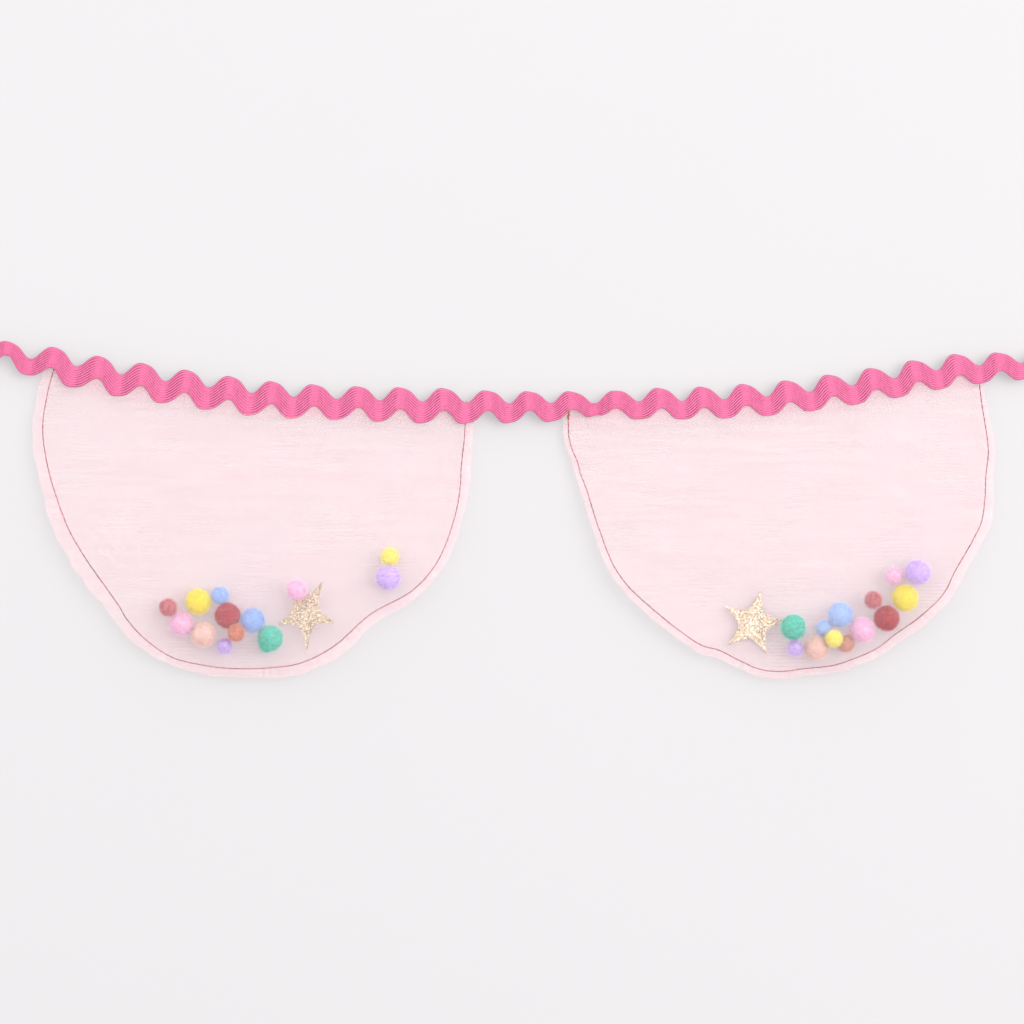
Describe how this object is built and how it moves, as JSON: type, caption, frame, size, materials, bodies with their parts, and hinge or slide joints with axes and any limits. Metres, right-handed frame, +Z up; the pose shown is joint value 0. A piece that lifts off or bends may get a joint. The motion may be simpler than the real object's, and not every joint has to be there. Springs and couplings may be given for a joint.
{
  "type": "pom pom garland",
  "caption": "Hanging garland of sheer half-round pockets that hold pom poms and glitter stars, sewn along a wavy pink ric-rac tape.",
  "frame": {"origin": "on the back face of the tape, on its centre line at mid-span", "axes": "+X along the garland to the viewer's right, +Z up, +Y towards the wall behind"},
  "size_m": [0.4349, 0.0152, 0.1361],
  "materials": {
    "braid": "matte plaited thread",
    "organza": "sheer, soft sheen",
    "pom_maroon": "short fuzzy pile",
    "pom_yellow": "short fuzzy pile",
    "pom_blue": "short fuzzy pile",
    "pom_pink": "short fuzzy pile",
    "pom_peach": "short fuzzy pile",
    "pom_terracotta": "short fuzzy pile",
    "pom_lilac": "short fuzzy pile",
    "pom_green": "short fuzzy pile",
    "glitter": "glitter grains on a thin card",
    "thread": "matte thread"
  },
  "bodies": {
    "root": {"tape": "braid", "left_front_panel": "organza", "left_back_panel": "organza", "left_pom_maroon_small": "pom_maroon", "left_pom_yellow_big": "pom_yellow", "left_pom_blue_small": "pom_blue", "left_pom_pink_big": "pom_pink", "left_pom_peach_big": "pom_peach", "left_pom_maroon_big": "pom_maroon", "left_pom_terracotta_small": "pom_terracotta", "left_pom_lilac_small": "pom_lilac", "left_pom_blue_big": "pom_blue", "left_pom_green_big": "pom_green", "left_pom_pink_small": "pom_pink", "left_pom_yellow_small": "pom_yellow", "left_pom_lilac_big": "pom_lilac", "left_star": "glitter", "right_front_panel": "organza", "right_back_panel": "organza", "right_pom_green_big": "pom_green", "right_pom_lilac_small": "pom_lilac", "right_pom_peach_big": "pom_peach", "right_pom_blue_big": "pom_blue", "right_pom_blue_small": "pom_blue", "right_pom_yellow_small": "pom_yellow", "right_pom_terracotta_small": "pom_terracotta", "right_pom_pink_big": "pom_pink", "right_pom_maroon_small": "pom_maroon", "right_pom_maroon_big": "pom_maroon", "right_pom_yellow_big": "pom_yellow", "right_pom_pink_small": "pom_pink", "right_pom_lilac_big": "pom_lilac", "right_star": "glitter"}
  },
  "joints": []
}
